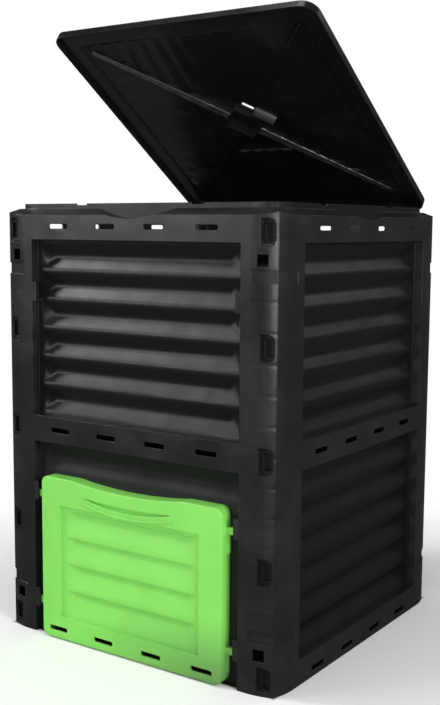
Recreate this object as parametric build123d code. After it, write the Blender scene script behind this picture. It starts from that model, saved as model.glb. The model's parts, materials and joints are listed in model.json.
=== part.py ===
from build123d import *
import os
from math import asin, cos, degrees, radians, sin, sqrt

# Compost bin of moulded plastic: four ribbed walls hooked together at rodded corners,
# a lift-out door at the front and a lid hinged on the back wall.
# Millimetres. The origin is on the ground at the middle of the bin. The front faces -Y.

# Overall sizes
bin_width = 610.0            # outer face to outer face, both ways
wall_height = 787.5          # ground to the top edge of a wall's face
skin = 3.0                   # wall thickness of every black moulding
joint_gap = 0.1              # half of the gap in a mitred corner

# Corner strips: each wall curves back to meet its neighbour
strip_width = 47.0
strip_setback = 10.0

# Shoulder and collar round the top
collar_inset = 24.0
shoulder_rise = 11.5
collar_height = 9.0
collar_corner = 23.0
collar_notch_at = 128.0
collar_notch_width = 25.0
collar_notch_depth = 3.0

# Finger recess in the middle of each shoulder
recess_half_width = 85.0
recess_below_edge = 7.0

# Windows: recessed panels with level troughs
window_side_margin = 18.0    # from the strip to the window
window_margin = 44.5         # below the lower window and above the upper one
middle_band = 48.5
window_depth = 17.0
trough_count = 6
trough_edge = 3.5            # from the window's edge to the first trough
trough_depth = 12.0
trough_end_margin = 10.0
trough_hip = 30.0
trough_flats = 8             # long flats that make up one wave

# Vent slots in the bands above, between and below the windows
slot_length = 44.0
slot_height = 9.0
slot_corner = 2.0            # cut across each corner of a slot
slot_from_strip = 84.5       # from the strip to the middle of the outer slot
top_slot_drop = 20.5
middle_slot_rise = 24.5
bottom_slot_level = 15.0

# Hooks at the corners
hook_first_level = 26.0
hook_last_drop = 27.5        # from the wall's top edge to the last hook
hook_count = 5
pocket_near = 39.0           # from the virtual corner to the pocket's inner side
pocket_far = 14.0
pocket_half_height = 22.4
pocket_corner = 10.0
pocket_floor = 10.0          # depth of the pocket's floor behind the wall's face
hole_half_height = 14.0
hole_near = 36.0
hole_far = 18.6
tongue_thickness = 3.5
tongue_clearance = 0.5
tongue_tip = 8.0             # depth of the tongue's tip behind the slotted wall's face
square_hole = 20.0
square_hole_from_corner = 35.5
square_hole_level = 69.0
square_hole_drop = 72.5

# Level bands set into the strips near both ends
band_height = 20.5
band_level = 98.5
band_drop = 98.0
band_depth = 2.0
band_from_strip = 2.0

# Corner rods and the lugs that they lock together
rod_radius = 8.0
rod_from_face = 33.0
rod_bottom = 2.0
rod_drop = 6.5
rod_sides = 8
rod_clearance = 0.2
lug_every = 4                # lugs at the lowest and the highest hook
lug_thickness = 4.0
lug_reach = 13.0             # from the rod's axis to the lug's edge
slotted_lug_drop = 22.0      # below the hook's level
hooked_lug_rise = 16.0       # above the hook's level

# Doorway and the keepers that hold the door
doorway_side_margin = 42.0   # from the window's side to the doorway
doorway_bottom = 40.0
doorway_head = 15.0          # from the doorway up to the trough above it
doorway_frame_depth = 8.0
keeper_width = 10.0
keeper_height = 35.0
keeper_ledge = 5.0
keeper_rise = 10.0           # lower keeper above the doorway's sill
keeper_drop = 41.0           # upper keeper below the doorway's head
spare_keeper_drop = 157.5    # spare keeper below the wall's top edge

# Door
door_skin = 3.5
door_side_lap = 15.5
door_top_lap = 10.0
door_bottom = 2.5
door_corner = 14.0
door_proud = 10.0
door_back_gap = 0.5
door_edge_bevel = 2.5
door_scoop_from_side = 78.5
door_scoop_depth = 9.0
door_slot_level = 21.0
door_window_side = 46.5
door_window_rise = 44.0
door_window_drop = 51.0
door_window_depth = 5.0
door_trough_count = 4
door_trough_edge = 4.25
door_trough_depth = 9.0
door_trough_hip = 22.0
door_trough_lean = 0.28      # moves each trough's deepest line towards its top edge
grip_inside_scoop = 24.0
grip_end_drop = 28.0         # all three below the door's top edge
grip_top_drop = 33.0
grip_bottom_drop = 41.0
grip_depth = 5.0
grip_ridge_drop = 12.0
grip_ridge_width = 4.5
grip_ridge_proud = 2.0
stub_height = 12.0
stub_front = 6.0
stub_thickness = 8.0
stub_side_gap = 3.0
seat_gap = 0.3
fin_length = 34.0
fin_proud = 3.5
fin_width = 6.0

# Lid
lid_skin = 3.0
lid_side_gap = 2.0
lid_seat_gap = 0.5
lid_skirt = 9.5
lid_border = 36.0
lid_raise = 5.0
lid_trough_count = 14
lid_trough_depth = 5.0
lid_trough_flats = 4
lid_field_inset = 12.0
lid_field_start = 94.0
hub_half = 32.0
hub_depth = 10.0
spoke_depth = 5.0
spoke_outer_half = 3.0
spoke_inner_half = 10.0
lid_open_angle = 34.0

# Hinge
hinge_behind_collar = 12.0
hinge_above_shoulder_foot = 15.5
hinge_from_strip = 11.0
pin_radius = 4.0
pin_running_gap = 0.08
knuckle_half = 13.0
knuckle_radius = 6.6
hinge_lug_gap = 0.5
hinge_lug_thickness = 5.0
hinge_lug_half = 6.0
hinge_lug_corner = 3.0

# Vent in the lid, and the slider that shuts it
vent_offset = 47.0
vent_shift = 10.0
vent_length = 64.0
vent_width = 11.0
vent_cross_length = 26.0
vent_cross_width = 4.0
slider_side_gap = 0.5
slider_stem_length = 26.0
slider_shoe_length = 44.0
slider_shoe_radius = 12.0
slider_cap_length = 48.0
slider_cap_width = 26.0
slider_cap_thickness = 4.0
slider_grip_width = 6.0
slider_grip_height = 7.0
slider_end_gap = 2.0
slider_play = 0.3

# Places worked out from the sizes above
half = bin_width / 2
strip_start = half - strip_setback - strip_width
strip_radius = (strip_width ** 2 + strip_setback ** 2) / (2 * strip_setback)
strip_angle = degrees(asin(strip_width / strip_radius))
collar_foot = wall_height + shoulder_rise
collar_top = collar_foot + collar_height
hook_pitch = (wall_height - hook_first_level - hook_last_drop) / (hook_count - 1)
hook_levels = [hook_first_level + hook_pitch * n for n in range(hook_count)]
square_hole_levels = (square_hole_level, wall_height - square_hole_drop)
band_levels = (band_level, wall_height - band_drop)
rod_place = half - rod_from_face
rod_top = wall_height - rod_drop
window_half_width = strip_start - window_side_margin
window_height = (wall_height - 2 * window_margin - middle_band) / 2
low_window_bottom = window_margin
low_window_top = low_window_bottom + window_height
high_window_bottom = low_window_top + middle_band
trough_pitch = (window_height - 2 * trough_edge) / trough_count
outer_slot = strip_start - slot_from_strip
slot_centres = (outer_slot / 3, outer_slot)
top_slot_level = wall_height - top_slot_drop
middle_slot_level = low_window_top + middle_slot_rise
doorway_half_width = window_half_width - doorway_side_margin
doorway_top = low_window_top - trough_edge - trough_pitch - doorway_head
keeper_levels = (doorway_bottom + keeper_rise, doorway_top - keeper_drop)
spare_keeper_level = wall_height - spare_keeper_drop
door_half_width = doorway_half_width + door_side_lap
door_top = doorway_top + door_top_lap
door_scoop_half = door_half_width - door_scoop_from_side
door_window_half = door_half_width - door_window_side
door_window_bottom = door_bottom + door_window_rise
door_window_top = door_top - door_window_drop
door_window_height = door_window_top - door_window_bottom
door_trough_pitch = (door_window_height - 2 * door_trough_edge) / door_trough_count
grip_half_width = door_scoop_half - grip_inside_scoop
grip_end_level = door_top - grip_end_drop
grip_top_level = door_top - grip_top_drop
grip_bottom_level = door_top - grip_bottom_drop
lid_half = half - collar_inset + lid_side_gap + lid_skin
lid_corner = collar_corner + lid_side_gap + lid_skin
lid_underside = collar_top + lid_seat_gap
lid_field_outer = lid_half - lid_border - lid_field_inset
lid_trough_pitch = 2 * lid_field_outer / lid_trough_count
hinge_offset = strip_start - hinge_from_strip
hinge_y = half - collar_inset + hinge_behind_collar
hinge_z = wall_height + hinge_above_shoulder_foot
far = 1000.0


def block(u0, u1, w0, w1, z0, z1):
    size = (u1 - u0, w1 - w0, z1 - z0)
    return Pos((u0 + u1) / 2, (w0 + w1) / 2, (z0 + z1) / 2) * Box(*size)


def chord_radius(half_chord, rise):
    return (half_chord ** 2 + rise ** 2) / (2 * rise)


def upright(face, w0, w1):
    # A face drawn in (u, z) becomes a slab from depth w0 to depth w1.
    plane = Plane(origin=(0, w0, 0), x_dir=(1, 0, 0), z_dir=(0, -1, 0))
    return extrude(plane * face, w1 - w0, dir=(0, 1, 0))


def lengthwise(face, u0, u1):
    # A face drawn in (w, z) becomes a bar from u0 to u1.
    plane = Plane(origin=(u0, 0, 0), x_dir=(0, 1, 0), z_dir=(1, 0, 0))
    return extrude(plane * face, u1 - u0, dir=(1, 0, 0))


def panel(half_width, z0, z1):
    return Pos(0, (z0 + z1) / 2) * Rectangle(2 * half_width, z1 - z0)


def slot_face(centre, level):
    # A slot with its corners cut across.
    u = slot_length / 2
    z = slot_height / 2
    cut = slot_corner
    corners = [(u - cut, -z), (u, cut - z), (u, z - cut), (u - cut, z)]
    corners += [(cut - u, z), (-u, z - cut), (-u, cut - z), (cut - u, -z)]
    return Pos(centre, level) * Polygon(*corners, align=None)


def slab_outline(outer_radius, end_angle, inner_depth):
    # Plan of everything behind a wall's outer face, strips included.
    bend = radians(end_angle)
    end = (strip_start + outer_radius * sin(bend), strip_radius - outer_radius * cos(bend))
    middle = (
        strip_start + outer_radius * sin(bend / 2),
        strip_radius - outer_radius * cos(bend / 2),
    )
    front = strip_radius - outer_radius
    right = ThreePointArc((strip_start, front), middle, end)
    left = ThreePointArc((-strip_start, front), (-middle[0], middle[1]), (-end[0], end[1]))
    lines = [
        Line((-strip_start, front), (strip_start, front)),
        right,
        Line(end, (end[0], inner_depth)),
        Line((end[0], inner_depth), (-end[0], inner_depth)),
        Line((-end[0], inner_depth), (-end[0], end[1])),
        left,
    ]
    return make_face(lines)


def mitre(depth, top):
    corner = half - joint_gap * sqrt(2)
    inner = corner - depth
    outline = Polygon((-corner, 0), (corner, 0), (inner, depth), (-inner, depth), align=None)
    return extrude(outline, top)


def shoulder_line(w):
    return wall_height + shoulder_rise * w / collar_inset


def wall_shell():
    inside = 60.0
    outer = extrude(slab_outline(strip_radius, strip_angle, inside), collar_top)
    inner = extrude(slab_outline(strip_radius - skin, strip_angle * 1.3, inside + 1), collar_top)
    face = outer - inner
    sky = Polygon(
        (-5, shoulder_line(-5)),
        (collar_inset, collar_foot),
        (collar_inset, collar_top + 5),
        (-5, collar_top + 5),
        align=None,
    )
    face -= lengthwise(sky, -far, far)
    rim = Polygon(
        (0, wall_height - skin),
        (collar_inset + skin, collar_foot - skin),
        (collar_inset + skin, collar_foot),
        (collar_inset, collar_foot),
        (0, wall_height),
        align=None,
    )
    shell = face + (lengthwise(rim, -half, half) & outer)
    shell += Pos(0, half, 0) * collar()
    return shell & mitre(inside, collar_top)


def collar():
    # The whole square collar with round corners, of which each wall carries a quarter.
    outside = half - collar_inset
    inside = outside - skin
    inner = RectangleRounded(2 * inside, 2 * inside, collar_corner - skin)
    ring = RectangleRounded(2 * outside, 2 * outside, collar_corner) - inner
    foot = Rectangle(2 * outside, 2 * outside) - inner
    level = Pos(0, 0, collar_foot - skin)
    return extrude(level * ring, skin + collar_height) + extrude(level * foot, skin)


def wave_face(start, count, pitch, plane_depth, depth, flats, extra, lean=0):
    # Section of a ribbed panel: waves made of long flats, closed in front of the panel's plane.
    points = []
    for n in range(count * flats + 1):
        turn = radians(360 * n / flats)
        swell = depth * (1 - cos(turn)) / 2
        level = start + pitch * (n / flats + lean * (1 - cos(turn)) / 2)
        points.append((plane_depth + extra + swell, level))
    front = plane_depth + extra - 2
    return Polygon((front, points[0][1]), *points, (front, points[-1][1]), align=None)


def troughs(start, count, pitch, plane_depth, depth, half_length, hip, extra, lean=0):
    # Level troughs whose two ends slope up to the panel's plane.
    face = wave_face(start, count, pitch, plane_depth, depth, trough_flats, extra, lean)
    bars = lengthwise(face, -half_length - extra, half_length + extra)
    slope = hip / depth
    front = plane_depth - 5
    bottom = plane_depth + depth + extra + 1
    reach = half_length + extra / 2
    top_u = reach + slope * (plane_depth - front)
    low_u = reach - slope * (bottom - plane_depth - extra)
    ends = Polygon((-top_u, front), (top_u, front), (low_u, bottom), (-low_u, bottom), align=None)
    return bars & extrude(Pos(0, 0, start) * ends, count * pitch)


def add_window(wall, bottom):
    top = bottom + window_height
    length = window_half_width - trough_end_margin
    start = bottom + trough_edge
    shape = (start, trough_count, trough_pitch, window_depth, trough_depth, length, trough_hip)
    pan = upright(panel(window_half_width + skin, bottom - skin, top + skin), 0, window_depth + skin)
    hollow = upright(panel(window_half_width, bottom, top), -1, window_depth)
    return (wall + pan + troughs(*shape, skin)) - hollow - troughs(*shape, 0)


def add_door_window(wall):
    # The front's lower window: one trough above the doorway, and open at the ground.
    top = low_window_top
    start = top - trough_edge - trough_pitch
    length = window_half_width - trough_end_margin
    shape = (start, 1, trough_pitch, window_depth, trough_depth, length, trough_hip)
    deep = window_depth + skin
    pan = upright(panel(window_half_width + skin, 0, top + skin), 0, deep)
    hollow = upright(panel(window_half_width, -10, top), -1, window_depth)
    wall = (wall + pan + troughs(*shape, skin)) - hollow - troughs(*shape, 0)
    frame = panel(doorway_half_width + skin, doorway_bottom - skin, doorway_top + skin)
    doorway = panel(doorway_half_width, doorway_bottom, doorway_top)
    wall += upright(frame, window_depth, deep + doorway_frame_depth)
    return wall - upright(doorway, 0, 60)


def add_keepers(wall, level):
    # On each side a tab level with the face and a ledge behind it: a pocket open at the top.
    top = level + keeper_height
    for side in (-1, 1):
        inner = side * (window_half_width - keeper_width)
        outer = side * (window_half_width + skin)
        u0, u1 = min(inner, outer), max(inner, outer)
        wall += block(u0, u1, 0, skin, level, top)
        wall += block(u0, u1, 0, window_depth + 1, level, level + keeper_ledge)
    return wall


def cut_slots(wall, level):
    for centre in slot_centres:
        for side in (-1, 1):
            wall -= upright(slot_face(side * centre, level), -1, skin + 1)
    return wall


def add_finger_recess(wall):
    lip = wall_height - recess_below_edge
    radius = chord_radius(recess_half_width, collar_foot - lip)
    centre = lip + radius
    under = Polygon(
        (0, lip - 20),
        (0, wall_height),
        (collar_inset, collar_foot),
        (collar_inset + skin, collar_foot),
        (collar_inset + skin, lip - 20),
        align=None,
    )
    shell = upright(Pos(0, centre) * Circle(radius + skin), 0, collar_inset + skin)
    wall += shell & lengthwise(under, -recess_half_width - 20, recess_half_width + 20)
    wall -= upright(Pos(0, centre) * Circle(radius), -5, collar_inset) & block(
        -far, far, -5, collar_inset, lip - 1, collar_foot + 1
    )
    return wall


def cut_collar_notches(wall):
    for side in (-1, 1):
        middle = side * collar_notch_at
        wide = collar_notch_width / 2
        wall -= block(
            middle - wide, middle + wide, collar_inset - 1, collar_inset + skin + 1,
            collar_top - collar_notch_depth, collar_top + 1,
        )
    return wall


def set_bands_in(wall):
    # Level bands where the strips step back by a little, with the skin carried behind them.
    whole = extrude(slab_outline(strip_radius, strip_angle, 60), wall_height)
    floor = extrude(slab_outline(strip_radius - band_depth, strip_angle * 1.1, 60), wall_height)
    behind = extrude(slab_outline(strip_radius - band_depth - skin, strip_angle * 1.2, 61), wall_height)
    step = whole - floor
    backing = (whole & floor) - behind
    corner = mitre(60, wall_height)
    for level in band_levels:
        low = level - band_height / 2
        high = level + band_height / 2
        for side in (-1, 1):
            near = side * (strip_start + band_from_strip)
            edge = side * (half + 5)
            u0, u1 = min(near, edge), max(near, edge)
            wall += backing & corner & block(u0, u1, -1, 59, low - skin, high + skin)
            wall -= step & block(u0, u1, -1, 59, low, high)
    return wall


def add_lugs(wall, offset):
    # Level lugs behind each strip, with a square hole for the corner rod.
    outer = extrude(slab_outline(strip_radius - skin / 2, strip_angle * 1.3, 60), far)
    for level in hook_levels[::lug_every]:
        for side in (-1, 1):
            z = level + offset
            inner = side * (strip_start + 4)
            edge = side * (rod_place + lug_reach)
            reach = rod_from_face + lug_reach
            plate = block(min(inner, edge), max(inner, edge), 0, reach, z, z + lug_thickness)
            wide = 2 * (rod_radius + rod_clearance)
            bore = Pos(side * rod_place, rod_from_face, z) * Box(wide, wide, 20)
            wall += (plate & outer) - bore
    return wall


def strip_mirror(side, near, far_side):
    a = side * (half - near)
    b = side * (half - far_side)
    return min(a, b), max(a, b)


def pocket_face(u0, u1, low, high, side):
    # Round towards the corner of the bin, in short flats, and square on the inner side.
    inner = u0 if side > 0 else u1
    outer = u1 if side > 0 else u0
    points = [(inner, high), (inner, low)]
    for turn in (0, 45, 90):
        along = outer - side * pocket_corner * (1 - sin(radians(turn)))
        points.append((along, low + pocket_corner * (1 - cos(radians(turn)))))
    for turn in (90, 45, 0):
        along = outer - side * pocket_corner * (1 - sin(radians(turn)))
        points.append((along, high - pocket_corner * (1 - cos(radians(turn)))))
    return Polygon(*points, align=None)


def add_hook_pockets(wall):
    # The slotted walls take the side walls' tongues in rounded pockets.
    envelope = extrude(slab_outline(strip_radius, strip_angle, 60), wall_height) & mitre(60, wall_height)
    for level in hook_levels:
        for side in (-1, 1):
            u0, u1 = strip_mirror(side, pocket_near, pocket_far)
            low = level - pocket_half_height
            high = level + pocket_half_height
            backing = block(u0 - 3, u1 + 3, 1, pocket_floor + skin, max(low - 3, 0), high + 3)
            wall += backing & envelope
            wall -= upright(pocket_face(u0, u1, low, high, side), -1, pocket_floor)
            h0, h1 = strip_mirror(side, hole_near, hole_far)
            hole_low = level - hole_half_height
            hole_high = level + hole_half_height
            wall -= block(h0, h1, -1, pocket_floor + skin + 1, hole_low, hole_high)
    for level in square_hole_levels:
        for side in (-1, 1):
            middle = side * (half - square_hole_from_corner)
            wide = square_hole / 2
            wall -= block(middle - wide, middle + wide, -1, 12, level - wide, level + wide)
    return wall


def add_tongues(wall):
    # The hooked walls carry tongues that pass through the slotted walls' pockets.
    inner = half - hole_near + tongue_clearance
    near_w = half - inner - tongue_thickness
    far_w = half - inner
    rise = hooked_lug_rise + lug_thickness
    body_start = pocket_floor + skin + 1.5
    body_end = rod_from_face - rod_radius - 1
    for level in hook_levels:
        for side in (-1, 1):
            tip = side * (half - tongue_tip)
            root = side * (half - body_end)
            start = side * (half - body_start)
            low = level - hole_half_height + tongue_clearance
            high = level + hole_half_height - tongue_clearance
            wall += block(min(tip, root), max(tip, root), near_w, far_w, low, high)
            wall += block(min(start, root), max(start, root), near_w, far_w, low, level + rise)
            web = side * (half - body_start - skin)
            wall += block(min(start, web), max(start, web), strip_setback, far_w, low, level + rise)
    return wall


def plain_wall():
    wall = wall_shell()
    wall = add_window(wall, high_window_bottom)
    wall = add_window(wall, low_window_bottom)
    for level in (top_slot_level, middle_slot_level, bottom_slot_level):
        wall = cut_slots(wall, level)
    wall = add_finger_recess(wall)
    return cut_collar_notches(wall)


def door_wall():
    wall = wall_shell()
    wall = add_window(wall, high_window_bottom)
    wall = add_door_window(wall)
    wall = add_keepers(wall, spare_keeper_level)
    for level in keeper_levels:
        wall = add_keepers(wall, level)
    for level in (top_slot_level, middle_slot_level):
        wall = cut_slots(wall, level)
    wall = add_finger_recess(wall)
    return cut_collar_notches(wall)


def slotted(wall):
    wall = add_hook_pockets(wall)
    wall = set_bands_in(wall)
    return add_lugs(wall, -slotted_lug_drop)


def hooked(wall):
    wall = set_bands_in(wall)
    wall = add_lugs(wall, hooked_lug_rise)
    return add_tongues(wall)


def place(wall, quarter_turns):
    return Rot(0, 0, 90 * quarter_turns) * Pos(0, -half, 0) * wall


def corner_rod(side_x, side_y):
    # An eight-sided bar whose flats fit the square holes of the lugs.
    outline = RegularPolygon(rod_radius, rod_sides, major_radius=False, rotation=180 / rod_sides)
    foot = Pos(side_x * rod_place, side_y * rod_place, rod_bottom)
    return extrude(foot * outline, rod_top - rod_bottom)


def hinge_lugs():
    # Two pairs of ears that stand on the back wall's shoulder, drawn in the back wall's frame.
    depth = half - hinge_y
    ears = None
    for side in (-1, 1):
        for step in (-1, 1):
            inner = side * hinge_offset + step * (knuckle_half + hinge_lug_gap)
            outer = inner + step * hinge_lug_thickness
            foot_z = shoulder_line(depth)
            outline = Polygon(
                (depth - hinge_lug_half, foot_z - 6),
                (depth + hinge_lug_half, foot_z - 1),
                (depth + hinge_lug_half, hinge_z + hinge_lug_half - hinge_lug_corner),
                (depth + hinge_lug_half - hinge_lug_corner, hinge_z + hinge_lug_half),
                (depth - hinge_lug_half + hinge_lug_corner, hinge_z + hinge_lug_half),
                (depth - hinge_lug_half, hinge_z + hinge_lug_half - hinge_lug_corner),
                align=None,
            )
            bore = Pos(depth, hinge_z) * Circle(pin_radius)
            ear = lengthwise(outline - bore, min(inner, outer), max(inner, outer))
            ears = ear if ears is None else ears + ear
    return ears


def hinge_pin(side):
    length = 2 * (knuckle_half + hinge_lug_gap + hinge_lug_thickness)
    return Pos(side * hinge_offset, hinge_y, hinge_z) * Rot(0, 90, 0) * Cylinder(pin_radius, length)


def door():
    middle = (door_bottom + door_top) / 2
    outline = Pos(0, middle) * RectangleRounded(2 * door_half_width, door_top - door_bottom, door_corner)
    scoop_radius = chord_radius(door_scoop_half, door_scoop_depth)
    outline -= Pos(0, door_top - door_scoop_depth + scoop_radius) * Circle(scoop_radius)
    front = -door_proud
    back = window_depth - door_back_gap
    shell = upright(outline, front, back)
    front_edges = shell.faces().sort_by(Axis.Y)[0].edges()
    shell = chamfer(front_edges, door_edge_bevel)
    cavity = upright(offset(outline, -door_skin), front + door_skin, back + 1)
    shell -= cavity
    floor = front + door_window_depth
    start = door_window_bottom + door_trough_edge
    length = door_window_half - trough_end_margin
    pattern = (start, door_trough_count, door_trough_pitch)
    shape = (*pattern, floor, door_trough_depth, length, door_trough_hip)
    rim_half = door_window_half + door_skin
    rim = panel(rim_half, door_window_bottom - door_skin, door_window_top + door_skin)
    hole = panel(door_window_half, door_window_bottom, door_window_top)
    shell += upright(rim, front + 1, floor + skin)
    shell += troughs(*shape, skin, door_trough_lean)
    shell -= upright(hole, front - 1, floor)
    shell -= troughs(*shape, 0, door_trough_lean)
    shell = add_grip(shell, front)
    for centre in slot_centres:
        for side in (-1, 1):
            slot = slot_face(side * centre, door_slot_level)
            shell -= upright(slot, front - 1, front + door_skin + 1)
    return Pos(0, -half, 0) * add_stubs(shell)


def add_grip(shell, front):
    low_radius = chord_radius(grip_half_width, grip_end_level - grip_bottom_level)
    top_radius = chord_radius(grip_half_width, grip_end_level - grip_top_level)
    low_centre = Pos(0, grip_bottom_level + low_radius)
    top_centre = Pos(0, grip_top_level + top_radius)
    hollow = low_centre * Circle(low_radius) - top_centre * Circle(top_radius)
    rim = low_centre * Circle(low_radius + door_skin) - top_centre * Circle(top_radius - door_skin)
    shell += upright(rim, front + 1, front + door_skin + grip_depth)
    shell -= upright(hollow, front - 1, front + grip_depth)
    ridge_low = grip_bottom_level - grip_ridge_drop
    ridge_centre = Pos(0, ridge_low + low_radius)
    ridge = ridge_centre * (Circle(low_radius) - Circle(low_radius - grip_ridge_width))
    ridge_reach = grip_end_level - grip_bottom_level + 5
    ridge &= Pos(0, ridge_low) * Rectangle(2 * grip_half_width, 2 * ridge_reach)
    return shell + upright(ridge, front - grip_ridge_proud, front + door_window_depth + 1)


def add_stubs(shell):
    # Each side has two stubs that drop behind the keepers, each with a fin under it.
    reach = window_half_width - stub_side_gap
    for level in keeper_levels:
        bottom = level + keeper_ledge + seat_gap
        top = bottom + stub_height
        for side in (-1, 1):
            inner = side * (door_half_width - 1)
            outer = side * reach
            stub = block(
                min(inner, outer), max(inner, outer), stub_front, stub_front + stub_thickness, bottom, top
            )
            edge = side * (door_half_width + fin_proud)
            fin = block(
                min(inner, edge), max(inner, edge), stub_front + 2, stub_front + 2 + fin_width,
                bottom - fin_length, top,
            )
            shell += stub + fin
    return shell


def lid_field():
    # One of four trapezoid fields of troughs, drawn for the front of the lid.
    base = lid_field_outer - lid_field_inset
    apex = lid_field_start - lid_field_inset
    corners = [(-base, -lid_field_outer), (base, -lid_field_outer)]
    corners += [(apex, -lid_field_start), (-apex, -lid_field_start)]
    return Polygon(*corners, align=None)


def lid_troughs(extra):
    top = lid_underside + lid_skin + lid_raise
    shape = (-lid_field_outer, lid_trough_count, lid_trough_pitch, -top, lid_trough_depth)
    face = wave_face(*shape, lid_trough_flats, extra)
    plane = Plane(origin=(0, 0, 0), x_dir=(0, 0, -1), z_dir=(0, -1, 0))
    bars = extrude(plane * face, half, dir=(0, -1, 0))
    field = offset(lid_field(), extra, kind=Kind.INTERSECTION) if extra else lid_field()
    front = bars & extrude(Pos(0, 0, top - 50) * field, 100)
    return [Rot(0, 0, 90 * n) * front for n in range(4)]


def closed_lid():
    top = lid_underside + lid_skin
    outer = Pos(0, 0, top) * RectangleRounded(2 * lid_half, 2 * lid_half, lid_corner)
    inside = lid_half - lid_skin
    inner = RectangleRounded(2 * inside, 2 * inside, lid_corner - lid_skin)
    shell = extrude(outer, -(lid_skin + lid_skirt))
    shell -= extrude(Pos(0, 0, lid_underside - far) * inner, far)
    panel_half = lid_half - lid_border
    shell += extrude(Pos(0, 0, top) * Rectangle(2 * panel_half, 2 * panel_half), lid_raise, taper=45)
    pocket_half = panel_half - lid_skin / 2
    pocket = Pos(0, 0, lid_underside) * Rectangle(2 * pocket_half, 2 * pocket_half)
    shell -= extrude(pocket, lid_raise, taper=45)
    for piece in lid_troughs(lid_skin):
        shell += piece
    for piece in lid_troughs(0):
        shell -= piece
    ceiling = lid_underside + lid_raise
    turn = Rot(0, 0, 45)
    hub_inside = hub_half - lid_skin
    hub = Rectangle(2 * hub_half, 2 * hub_half) - Rectangle(2 * hub_inside, 2 * hub_inside)
    hub_wall = extrude(Pos(0, 0, ceiling - hub_depth) * hub, hub_depth)
    shell += turn * hub_wall
    corner_reach = (panel_half - 12) * sqrt(2)
    past_vent = vent_offset + slider_cap_width
    for angle, start in ((0, hub_half), (90, hub_half), (180, hub_half), (270, past_vent)):
        spoke = Polygon(
            (start - 1, -spoke_inner_half),
            (corner_reach, -spoke_outer_half),
            (corner_reach, spoke_outer_half),
            (start - 1, spoke_inner_half),
            align=None,
        )
        bar = extrude(Pos(0, 0, ceiling - spoke_depth) * spoke, spoke_depth)
        shell += turn * Rot(0, 0, angle) * bar
    shell -= turn * vent_hole(ceiling - hub_depth - 1, far)
    return add_knuckles(shell)


def vent_hole(z0, z1):
    slot = Rectangle(vent_length, vent_width) + Rectangle(vent_cross_width, vent_cross_length)
    return extrude(Pos(vent_shift, -vent_offset, z0) * slot, z1 - z0)


def add_knuckles(shell):
    for side in (-1, 1):
        lying = Pos(side * hinge_offset, hinge_y, hinge_z) * Rot(0, 90, 0)
        barrel = lying * Cylinder(knuckle_radius, 2 * knuckle_half)
        left = side * hinge_offset - knuckle_half
        right = left + 2 * knuckle_half
        web = block(left, right, lid_half - lid_skin, hinge_y, hinge_z - 3.5, lid_underside + lid_skin)
        bore = lying * Cylinder(pin_radius + pin_running_gap, 4 * knuckle_half)
        shell += barrel + web
        shell -= bore
    return shell


def closed_vent_slider():
    # A half-round shoe under the lid, a stem through the vent and a cap with a grip on top.
    ceiling = lid_underside + lid_raise
    low = ceiling - slider_play
    high = ceiling + lid_skin + slider_play
    round_bar = Rot(0, 90, 0) * Cylinder(slider_shoe_radius, slider_shoe_length)
    lower_half = Pos(0, 0, -slider_shoe_radius) * Box(2 * slider_shoe_length, 60, 2 * slider_shoe_radius)
    shoe = Pos(0, 0, low) * (round_bar & lower_half)
    stem_width = vent_width - 2 * slider_side_gap
    stem = Pos(0, 0, (low + high) / 2) * Box(slider_stem_length, stem_width, high - low + 2)
    cap = Box(slider_cap_length, slider_cap_width, slider_cap_thickness)
    cap = Pos(0, 0, high + slider_cap_thickness / 2) * cap
    grip_top = high + slider_cap_thickness
    grip = Pos(0, 0, grip_top + slider_grip_height / 2 - 1) * Box(
        slider_grip_width, slider_cap_width - 6, slider_grip_height + 2
    )
    place_at = vent_shift + vent_length / 2 - slider_stem_length / 2 - slider_end_gap
    return Rot(0, 0, 45) * Pos(place_at, -vent_offset, 0) * (shoe + stem + cap + grip)


def open_lid(piece):
    axis = Axis((0, hinge_y, hinge_z), (-1, 0, 0))
    return piece.rotate(axis, lid_open_angle)


def build():
    nodes = {}
    plain = plain_wall()
    side = hooked(plain)
    nodes["front_wall"] = place(slotted(door_wall()), 0)
    nodes["right_wall"] = place(side, 1)
    nodes["back_wall"] = place(slotted(plain) + hinge_lugs(), 2)
    nodes["left_wall"] = place(side, 3)
    for front_or_back, side_y in (("front", -1), ("back", 1)):
        for hand, side_x in (("left", -1), ("right", 1)):
            nodes[f"corner_rod_{front_or_back}_{hand}"] = corner_rod(side_x, side_y)
    nodes["hinge_pin_left"] = hinge_pin(-1)
    nodes["hinge_pin_right"] = hinge_pin(1)
    nodes["door"] = door()
    nodes["lid"] = open_lid(closed_lid())
    nodes["vent_slider"] = open_lid(closed_vent_slider())
    return nodes


os.makedirs("parts", exist_ok=True)
for name, piece in build().items():
    export_step(piece, f"parts/{name}.step")
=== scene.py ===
import json
import math

import bpy
import bmesh
from mathutils import Matrix, Vector


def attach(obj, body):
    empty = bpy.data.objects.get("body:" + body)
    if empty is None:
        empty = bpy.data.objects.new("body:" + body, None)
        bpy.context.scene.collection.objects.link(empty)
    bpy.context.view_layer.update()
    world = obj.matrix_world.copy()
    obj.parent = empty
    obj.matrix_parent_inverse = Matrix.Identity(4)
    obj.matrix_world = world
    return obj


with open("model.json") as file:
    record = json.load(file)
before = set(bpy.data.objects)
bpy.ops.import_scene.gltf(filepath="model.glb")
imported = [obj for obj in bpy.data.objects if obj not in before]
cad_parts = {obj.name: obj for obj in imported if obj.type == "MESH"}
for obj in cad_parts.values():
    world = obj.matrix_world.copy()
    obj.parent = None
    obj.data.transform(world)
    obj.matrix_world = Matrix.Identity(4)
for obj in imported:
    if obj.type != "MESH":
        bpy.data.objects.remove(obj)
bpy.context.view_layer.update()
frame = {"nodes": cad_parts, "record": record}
nodes = frame["nodes"]
print("frame loaded:", ", ".join(sorted(nodes)))


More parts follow.
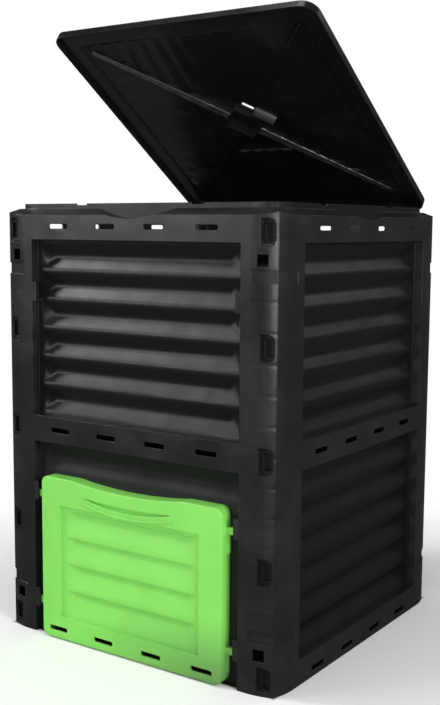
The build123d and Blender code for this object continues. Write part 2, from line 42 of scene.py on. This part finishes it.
# A shader value that can be used in plain sums.
class Wire:
    def __init__(self, maker, socket):
        self.maker = maker
        self.socket = socket

    def __add__(self, other):
        return self.maker.maths("ADD", self, other)

    def __radd__(self, other):
        return self.maker.maths("ADD", other, self)

    def __sub__(self, other):
        return self.maker.maths("SUBTRACT", self, other)

    def __rsub__(self, other):
        return self.maker.maths("SUBTRACT", other, self)

    def __mul__(self, other):
        return self.maker.maths("MULTIPLY", self, other)

    def __rmul__(self, other):
        return self.maker.maths("MULTIPLY", other, self)

    def __truediv__(self, other):
        return self.maker.maths("DIVIDE", self, other)

    def __rtruediv__(self, other):
        return self.maker.maths("DIVIDE", other, self)


# One material and its nodes.
class Finish:
    def __init__(self, name):
        self.material = bpy.data.materials.new(name)
        self.material.use_nodes = True
        self.tree = self.material.node_tree
        self.tree.nodes.clear()

    def node(self, kind, settings=None, values=None, out=0):
        made = self.tree.nodes.new(kind)
        for key, value in (settings or {}).items():
            setattr(made, key, value)
        for key, value in (values or {}).items():
            if isinstance(value, Wire):
                self.tree.links.new(value.socket, made.inputs[key])
            else:
                made.inputs[key].default_value = value
        return Wire(self, made.outputs[out]) if len(made.outputs) else made

    def maths(self, operation, *values):
        return self.node("ShaderNodeMath", {"operation": operation}, dict(enumerate(values)))

    def noise(self, place, scale, detail, roughness):
        values = {"Vector": place, "Scale": scale, "Detail": detail, "Roughness": roughness}
        return self.node("ShaderNodeTexNoise", {}, values)

    def blend(self, amount, first, second):
        pair = [end if isinstance(end, Wire) else (*end, 1.0) for end in (first, second)]
        values = {0: amount, 6: pair[0], 7: pair[1]}
        return self.node("ShaderNodeMix", {"data_type": "RGBA"}, values, out=2)

    def band(self, value, low, high):
        # 0 below low, 1 above high.
        values = {0: value, 1: low, 2: high, 3: 0.0, 4: 1.0}
        return self.node("ShaderNodeMapRange", {"interpolation_type": "SMOOTHSTEP"}, values)

    def parts(self, place):
        first = self.node("ShaderNodeSeparateXYZ", {}, {"Vector": place})
        return [Wire(self, output) for output in first.socket.node.outputs]

    def sides(self, place):
        # How far out a place is, across and along.
        return tuple(self.maths("ABSOLUTE", part) for part in self.parts(place)[:2])

    def close(self, values):
        surface = self.node("ShaderNodeBsdfPrincipled", {}, values)
        self.node("ShaderNodeOutputMaterial", {}, {"Surface": surface})
        return self.material


# Shared by all the plastics: detail and roughness of each noise, and where the patches begin.
texture = {
    "grain": (2.0, 0.6),
    "wave": (1.0, 0.4),
    "patch": (4.0, 0.6),
    "speck": (1.0, 0.5),
    "dullBand": (0.42, 0.68),
    "dustBand": (0.66, 0.78),
    "grainRoughness": 0.06,
}


def mouldedPlastic(name, look):
    # Moulded plastic: fine grain, slow waves from cooling, dull patches and rounded edges.
    finish = Finish(name)
    place = finish.node("ShaderNodeTexCoord", {}, {}, out=3)
    grain, waves, patches, specks = (
        finish.noise(place, look[kind + "Scale"], *texture[kind])
        for kind in ("grain", "wave", "patch", "speck")
    )
    dull = finish.band(patches, *texture["dullBand"])
    dust = finish.band(specks, *texture["dustBand"]) * dull
    base = finish.blend(dull, look["colour"], look["dullColour"])
    colour = finish.blend(dust * look["dustAmount"], base, look["dustColour"])
    # Painted shade darkens the door's lower right corner.
    if look.get("footShadeColour"):
        footShadeMask = paintedFootShade(finish, place, look) * look["footShadeAmount"]
        colour = finish.blend(footShadeMask, colour, look["footShadeColour"])
    roughness = look["roughness"] + (dull - 0.5) * look["roughnessSpread"]
    roughness = roughness + (grain - 0.5) * texture["grainRoughness"]
    height = (grain - 0.5) * look["grainDepth"] + (waves - 0.5) * look["waveDepth"]
    if look.get("sinkPitch"):
        height = height - sinkLines(finish, place, look)
        roughness = roughness + mattRecess(finish, place, look) * look["mattRoughness"]
        # Painted shade: the hook pockets are painted dark.
        pocketShadeMask = paintedPocketShade(finish, place, look)
        colour = finish.blend(pocketShadeMask, colour, look["pocketShadeColour"])
        # Painted shade: the recessed ribbed panels are painted darker; their extra dullness is
        # roughness.
        satinAndShade = satinAndShadedPanels(finish, place, look)
        colour = finish.blend(satinAndShade, colour, look["panelShadeColour"])
        roughness = roughness + pocketShadeMask * look["pocketRoughness"] + satinAndShade * look["satinRoughness"]
    edge = finish.node("ShaderNodeBevel", {"samples": 4}, {"Radius": look["edgeRadius"]})
    relief = {"Strength": 1.0, "Distance": 1.0, "Height": height, "Normal": edge}
    return finish.close({
        "Base Color": colour,
        "Roughness": roughness,
        "Normal": finish.node("ShaderNodeBump", {}, relief),
        "IOR": look["ior"],
        "Coat Weight": look["coat"],
        "Coat Roughness": look["coatRoughness"],
        "Specular IOR Level": look["specular"],
    })


def paintedFootShade(finish, place, look):
    # Painted shade: the door's colour greys and darkens towards its lower right corner.
    across, along, upright = finish.parts(place)
    low = 1.0 - finish.band(upright, 0.0, look["footShadeLevel"])
    return low * finish.band(across, *look["footShadeBand"])


def sinkLines(finish, place, look):
    # Faint level dips on the corner strips, where ribs stand behind the skin.
    upright = finish.parts(place)[2]
    nearest = finish.maths("MINIMUM", *finish.sides(place))
    onStrip = finish.band(nearest, look["stripFrom"], look["stripFrom"] + look["stripFade"])
    phase = finish.maths("PINGPONG", upright / look["sinkPitch"], 0.5)
    dip = 1.0 - finish.band(phase, 0.0, look["sinkWidth"] / look["sinkPitch"])
    return dip * onStrip * look["sinkDepth"]


def paintedPocketShade(finish, place, look):
    # Painted shade: the hook pockets and what stands behind them are painted dark, and made
    # dull.
    across, along = finish.sides(place)
    start, fade = look["pocketFrom"], look["pocketFade"]
    shades = []
    for beside, outward in ((across, along), (along, across)):
        near = finish.band(beside, start, start + fade)
        far = finish.band(beside, look["pocketTo"] - look["pocketEnd"], look["pocketTo"])
        inStrip = beside - look["stripStart"]
        depth = look["wallHalf"] - outward - inStrip * inStrip / (2.0 * look["stripRadius"])
        corner = finish.band(outward, start - fade, start)
        shades.append(near * (1.0 - far) * corner * finish.band(depth, *look["pocketDepth"]))
    return finish.maths("MAXIMUM", *shades)


def satinAndShadedPanels(finish, place, look):
    # The ribbed panels are duller than the frame round them, and painted darker as shade in
    # their recess.
    across, along = finish.sides(place)
    outward = finish.maths("MAXIMUM", across, along)
    beside = finish.maths("MINIMUM", across, along)
    behind = 1.0 - finish.band(outward, look["panelFace"] - look["panelFade"], look["panelFace"])
    between = 1.0 - finish.band(beside, look["panelHalf"], look["panelHalf"] + look["panelEdge"])
    return behind * between


def mattRecess(finish, place, look):
    # The recess round the doorway has a duller face than the ribbed panels.
    across, along, upright = finish.parts(place)
    fade = look["mattFade"]
    outward = finish.maths("ABSOLUTE", across)
    beside = finish.band(outward, look["mattHalf"], look["mattHalf"] + fade)
    above = finish.band(upright, look["mattTop"] - fade, look["mattTop"])
    behind = finish.band(along, look["mattFront"] - look["mattDepthFade"], look["mattFront"])
    return (1.0 - beside) * (1.0 - above) * (1.0 - behind)


wallLook = {
    "colour": (0.0100, 0.0102, 0.0107),
    "dullColour": (0.0150, 0.0153, 0.0157),
    "dustColour": (0.11, 0.105, 0.095),
    "dustAmount": 0.15,
    "roughness": 0.34,
    "roughnessSpread": 0.10,
    "grainScale": 1300.0,
    "grainDepth": 0.00006,
    "waveScale": 22.0,
    "waveDepth": 0.0009,
    "patchScale": 9.0,
    "speckScale": 700.0,
    "edgeRadius": 0.0016,
    "ior": 1.5,
    "specular": 0.5,
    "coat": 0.0,
    "coatRoughness": 0.2,
    "sinkPitch": 0.050,
    "sinkWidth": 0.006,
    "sinkDepth": 0.00025,
    "stripFrom": 0.250,
    "stripFade": 0.004,
    "pocketFrom": 0.262,
    "pocketTo": 0.293,
    "pocketFade": 0.002,
    "pocketEnd": 0.001,
    "pocketDepth": (0.0012, 0.0035),
    "pocketRoughness": 0.3,
    # Painted shade colour inside the hook pockets.
    "pocketShadeColour": (0.0015, 0.0015, 0.0016),
    "stripStart": 0.248,
    "stripRadius": 0.11545,
    "wallHalf": 0.305,
    "panelFace": 0.294,
    "panelHalf": 0.232,
    "panelFade": 0.002,
    "panelEdge": 0.003,
    # Painted shade colour for the recessed ribbed panels.
    "panelShadeColour": (0.0040, 0.0040, 0.0042),
    "satinRoughness": 0.08,
    "mattHalf": 0.229,
    "mattTop": 0.371,
    "mattFront": -0.26,
    "mattFade": 0.002,
    "mattDepthFade": 0.01,
    "mattRoughness": 0.26,
}
lidLook = {
    "colour": (0.006, 0.006, 0.0070),
    "dullColour": (0.010, 0.010, 0.0112),
    "dustColour": (0.09, 0.085, 0.08),
    "dustAmount": 0.2,
    "roughness": 0.24,
    "roughnessSpread": 0.10,
    "grainScale": 1500.0,
    "grainDepth": 0.00003,
    "waveScale": 14.0,
    "waveDepth": 0.0014,
    "patchScale": 7.0,
    "speckScale": 700.0,
    "edgeRadius": 0.0012,
    "ior": 1.5,
    "specular": 0.5,
    "coat": 0.0,
    "coatRoughness": 0.2,
}
doorLook = {
    "colour": (0.214, 0.645, 0.104),
    "dullColour": (0.198, 0.61, 0.094),
    "dustColour": (0.26, 0.48, 0.165),
    # Painted shade colour for the door's lower right corner.
    "footShadeColour": (0.10, 0.20, 0.065),
    "footShadeAmount": 0.85,
    "footShadeLevel": 0.13,
    "footShadeBand": (-0.12, 0.24),
    "dustAmount": 0.12,
    "roughness": 0.34,
    "roughnessSpread": 0.08,
    "grainScale": 1300.0,
    "grainDepth": 0.00004,
    "waveScale": 16.0,
    "waveDepth": 0.0006,
    "patchScale": 11.0,
    "speckScale": 600.0,
    "edgeRadius": 0.0015,
    "ior": 1.5,
    "specular": 0.5,
    "coat": 0.0,
    "coatRoughness": 0.2,
}
sliderLook = dict(
    lidLook, colour=(0.035, 0.035, 0.037), dullColour=(0.045, 0.045, 0.047), roughness=0.32
)
ridgeLook = dict(
    lidLook, colour=(0.02, 0.02, 0.022), roughness=0.26, waveScale=70.0, waveDepth=0.0016
)

finishes = {
    "spokeRidge": mouldedPlastic("glossyRidgePlastic", ridgeLook),
    "wall_plastic": mouldedPlastic("blackWallPlastic", wallLook),
    "lid_plastic": mouldedPlastic("blackLidPlastic", lidLook),
    "door_plastic": mouldedPlastic("limeDoorPlastic", doorLook),
    "slider_plastic": mouldedPlastic("greySliderPlastic", sliderLook),
}
print("finishes made:", len(finishes))


shading = {"smoothAngle": 50.0, "weldReach": 0.00002, "weight": 50, "ridgeAngle": 60.0}


def softenShading(piece):
    # Neighbouring flats of a moulded curve shade as one curve.
    custom = piece.data.attributes.get("custom_normal")
    if custom:
        piece.data.attributes.remove(custom)
    for face in piece.data.polygons:
        face.use_smooth = True
    weld = piece.modifiers.new("joinFaces", "WELD")
    weld.merge_threshold = shading["weldReach"]
    split = piece.modifiers.new("keepCorners", "EDGE_SPLIT")
    split.split_angle = math.radians(shading["smoothAngle"])
    split.use_edge_sharp = False
    weighted = piece.modifiers.new("flatFacesFirst", "WEIGHTED_NORMAL")
    weighted.mode = "FACE_AREA"
    weighted.weight = shading["weight"]


slotOf = {entry["node"]: entry["material_slot"] for entry in frame["record"]["subparts"]}
for name, node in nodes.items():
    node.data.materials.clear()
    node.data.materials.append(finishes[slotOf[name]])
    softenShading(node)
print("finishes laid on", len(nodes), "nodes")


spokeRidges = {
    "angles": (45.0, 225.0),
    "reach": (0.033, 0.322),
    "level": 0.8085,
    "apart": (0.0050, 0.0032),
    "radius": (0.0052, 0.0026),
    "steps": 60,
    "sides": 10,
    "unevenness": 0.18,
    "swell": (61.0, 23.0),
    "hinge": (0.293, 0.803),
    "openAngle": 34.0,
}


def openedPoint(across, along, level):
    # From the closed lid to where the lid stands at rest.
    turn = math.radians(-spokeRidges["openAngle"])
    hingeAlong, hingeLevel = spokeRidges["hinge"]
    back = along - hingeAlong
    up = level - hingeLevel
    return (
        across,
        hingeAlong + back * math.cos(turn) - up * math.sin(turn),
        hingeLevel + back * math.sin(turn) + up * math.cos(turn),
    )


def ridgeRow(shape, heading, side, share):
    # One cross-section of a half-round ridge under a spoke.
    reach, apart, radius = (
        first + (last - first) * share
        for first, last in (spokeRidges[key] for key in ("reach", "apart", "radius"))
    )
    quick, slow = spokeRidges["swell"]
    swell = math.sin(quick * share + side) * math.sin(slow * share + 2.0 * side)
    radius *= 1.0 + spokeRidges["unevenness"] * swell
    row = []
    for step in range(spokeRidges["sides"] + 1):
        turn = math.pi * step / spokeRidges["sides"]
        aside = side * apart + radius * math.cos(turn)
        across = reach * math.cos(heading) - aside * math.sin(heading)
        along = reach * math.sin(heading) + aside * math.cos(heading)
        level = spokeRidges["level"] - radius * math.sin(turn)
        row.append(shape.verts.new(openedPoint(across, along, level)))
    return row


def makeSpokeRidges():
    shape = bmesh.new()
    for angle in spokeRidges["angles"]:
        for side in (-1, 1):
            heading = math.radians(angle)
            steps = spokeRidges["steps"]
            rows = [ridgeRow(shape, heading, side, n / steps) for n in range(steps + 1)]
            for near, far in zip(rows, rows[1:]):
                for n in range(spokeRidges["sides"]):
                    shape.faces.new((near[n], near[n + 1], far[n + 1], far[n]))
                shape.faces.new((near[-1], near[0], far[0], far[-1]))
            shape.faces.new(reversed(rows[0]))
            shape.faces.new(rows[-1])
    bmesh.ops.recalc_face_normals(shape, faces=shape.faces)
    mesh = bpy.data.meshes.new("spokeRidges")
    shape.to_mesh(mesh)
    shape.free()
    for face in mesh.polygons:
        face.use_smooth = True
    ridges = bpy.data.objects.new("spokeRidges", mesh)
    bpy.context.scene.collection.objects.link(ridges)
    mesh.materials.append(finishes["spokeRidge"])
    split = ridges.modifiers.new("keepCorners", "EDGE_SPLIT")
    split.split_angle = math.radians(shading["ridgeAngle"])
    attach(ridges, "lid")


makeSpokeRidges()
print("spoke ridges made")


def floorMaterial(look):
    # Painted shade: dark inside the walls; pale with the bin's shadow near them, and plain white
    # far out.
    finish = Finish("paleFloor")
    rays = finish.node("ShaderNodeLightPath", {}, {}).socket.node.outputs
    seen = Wire(finish, rays["Is Camera Ray"])
    gloss = Wire(finish, rays["Is Glossy Ray"])
    place = finish.node("ShaderNodeTexCoord", {}, {}, out=3)
    reach = finish.node("ShaderNodeVectorMath", {"operation": "LENGTH"}, {0: place}, out=1)
    away = finish.band(reach, look["shadowReach"], look["whiteReach"])
    furthest = finish.maths("MAXIMUM", *finish.sides(place))
    inside = look["insideHalf"]
    # Painted shade: the floor inside the walls is painted dark.
    beyond = finish.band(furthest, inside - look["insideFade"], inside)
    ground = finish.blend(beyond, look["insideShadeColour"], look["colour"])
    colour = finish.blend(gloss, ground, look["glossColour"])
    matt = {"Base Color": colour, "Roughness": look["roughness"], "Specular IOR Level": 0.0}
    lit = finish.node("ShaderNodeBsdfPrincipled", {}, matt)
    plain = {"Color": (1.0, 1.0, 1.0, 1.0), "Strength": 1.0}
    white = finish.node("ShaderNodeEmission", {}, plain)
    mixed = finish.node("ShaderNodeMixShader", {}, {0: seen * away, 1: lit, 2: white})
    finish.node("ShaderNodeOutputMaterial", {}, {"Surface": mixed})
    return finish.material


studio = {
    "colour": (0.93, 0.93, 0.93),
    "glossColour": (0.10, 0.10, 0.10),
    # Painted shade colour for the floor inside the walls.
    "insideShadeColour": (0.02, 0.02, 0.02),
    "insideHalf": 0.303,
    "insideFade": 0.01,
    "roughness": 0.9,
    "floorLevel": -0.0002,
    "floorSize": 14.0,
    "shadowReach": 0.45,
    "whiteReach": 1.1,
    "worldLevel": 0.32,
    "glossLevel": 0.08,
}


def makeFloor():
    mesh = bpy.data.meshes.new("studioFloor")
    shape = bmesh.new()
    bmesh.ops.create_grid(shape, x_segments=2, y_segments=2, size=studio["floorSize"] / 2)
    shape.to_mesh(mesh)
    shape.free()
    floor = bpy.data.objects.new("studioFloor", mesh)
    bpy.context.scene.collection.objects.link(floor)
    floor.data.materials.append(floorMaterial(studio))
    floor.location.z = studio["floorLevel"]


def makeWorld():
    # White to the camera, dim in the gloss of the plastic, and soft light for all else.
    world = bpy.data.worlds.new("studioWorld")
    bpy.context.scene.world = world
    world.use_nodes = True
    tree = world.node_tree
    tree.nodes.clear()
    rays = tree.nodes.new("ShaderNodeLightPath")
    out = tree.nodes.new("ShaderNodeOutputWorld")
    levels = {"soft": studio["worldLevel"], "gloss": studio["glossLevel"], "white": 1.0}
    skies = {}
    for name, level in levels.items():
        skies[name] = tree.nodes.new("ShaderNodeBackground")
        skies[name].inputs["Color"].default_value = (1.0, 1.0, 1.0, 1.0)
        skies[name].inputs["Strength"].default_value = level
    dim = tree.nodes.new("ShaderNodeMixShader")
    mix = tree.nodes.new("ShaderNodeMixShader")
    tree.links.new(rays.outputs["Is Glossy Ray"], dim.inputs[0])
    tree.links.new(skies["soft"].outputs[0], dim.inputs[1])
    tree.links.new(skies["gloss"].outputs[0], dim.inputs[2])
    tree.links.new(rays.outputs["Is Camera Ray"], mix.inputs[0])
    tree.links.new(dim.outputs[0], mix.inputs[1])
    tree.links.new(skies["white"].outputs[0], mix.inputs[2])
    tree.links.new(mix.outputs[0], out.inputs[0])


def makeLamp(name, place, target, size, power):
    data = bpy.data.lights.new(name, "AREA")
    data.shape = "RECTANGLE"
    data.size, data.size_y = size
    data.energy = power
    lamp = bpy.data.objects.new(name, data)
    bpy.context.scene.collection.objects.link(lamp)
    lamp.location = place
    aim = Vector(target) - Vector(place)
    lamp.rotation_euler = aim.to_track_quat("-Z", "Y").to_euler()


lamps = {
    "leftKey": {
        "place": (-2.9, -1.5, 2.45),
        "target": (0.0, -0.3, 0.6),
        "size": (0.7, 0.5),
        "power": 56.0,
    },
    "frontLeft": {
        "place": (-2.4, -3.2, 1.3),
        "target": (0.0, -0.3, 0.5),
        "size": (1.0, 0.7),
        "power": 20.0,
    },
    "cornerFront": {
        "place": (1.05, -3.2, 0.75),
        "target": (0.28, -0.3, 0.6),
        "size": (0.4, 0.8),
        "power": 17.0,
    },
    "ridgeFront": {
        "place": (1.9, -2.8, 1.0),
        "target": (0.0, 0.0, 0.9),
        "size": (0.5, 0.6),
        "power": 9.0,
    },
    "rightBack": {
        "place": (2.0, 3.0, 2.6),
        "target": (0.3, 0.0, 0.5),
        "size": (2.0, 1.6),
        "power": 9.0,
    },
    "rightSide": {
        "place": (3.3, -1.3, 1.5),
        "target": (0.3, 0.0, 0.4),
        "size": (1.2, 1.0),
        "power": 80.0,
    },
    "lowLeft": {
        "place": (-2.3, 1.0, 0.35),
        "target": (-0.2, -0.1, 1.0),
        "size": (0.5, 0.4),
        "power": 8.0,
    },
    "topSoft": {
        "place": (-0.3, -0.9, 3.4),
        "target": (0.0, -0.2, 0.4),
        "size": (1.6, 1.2),
        "power": 18.0,
    },
}

makeFloor()
makeWorld()
for lampName, lamp in lamps.items():
    makeLamp(lampName, lamp["place"], lamp["target"], lamp["size"], lamp["power"])
print("studio made")

view = {
    "place": (1.1629, -1.7148, 0.7663),
    "yaw": -34.567,
    "pitch": -6.707,
    "roll": 0.393,
    "lens": 54.14,
    "sensor": 36.0,
}


def makeCamera():
    yaw, pitch, roll = (math.radians(view[key]) for key in ("yaw", "pitch", "roll"))
    level = math.cos(pitch)
    ahead = Vector((math.sin(yaw) * level, math.cos(yaw) * level, math.sin(pitch)))
    right = Vector((math.cos(yaw), -math.sin(yaw), 0.0))
    above = right.cross(ahead)
    turnedRight = right * math.cos(roll) + above * math.sin(roll)
    turnedAbove = above * math.cos(roll) - right * math.sin(roll)
    data = bpy.data.cameras.new("photoCamera")
    data.sensor_fit = "AUTO"
    data.sensor_width = view["sensor"]
    data.lens = view["lens"]
    data.clip_end = 50.0
    camera = bpy.data.objects.new("photoCamera", data)
    bpy.context.scene.collection.objects.link(camera)
    turn = Matrix((turnedRight, turnedAbove, -ahead)).transposed().to_4x4()
    camera.matrix_world = Matrix.Translation(view["place"]) @ turn
    bpy.context.scene.camera = camera


makeCamera()
bpy.context.scene.view_settings.view_transform = "Standard"
print("camera set")
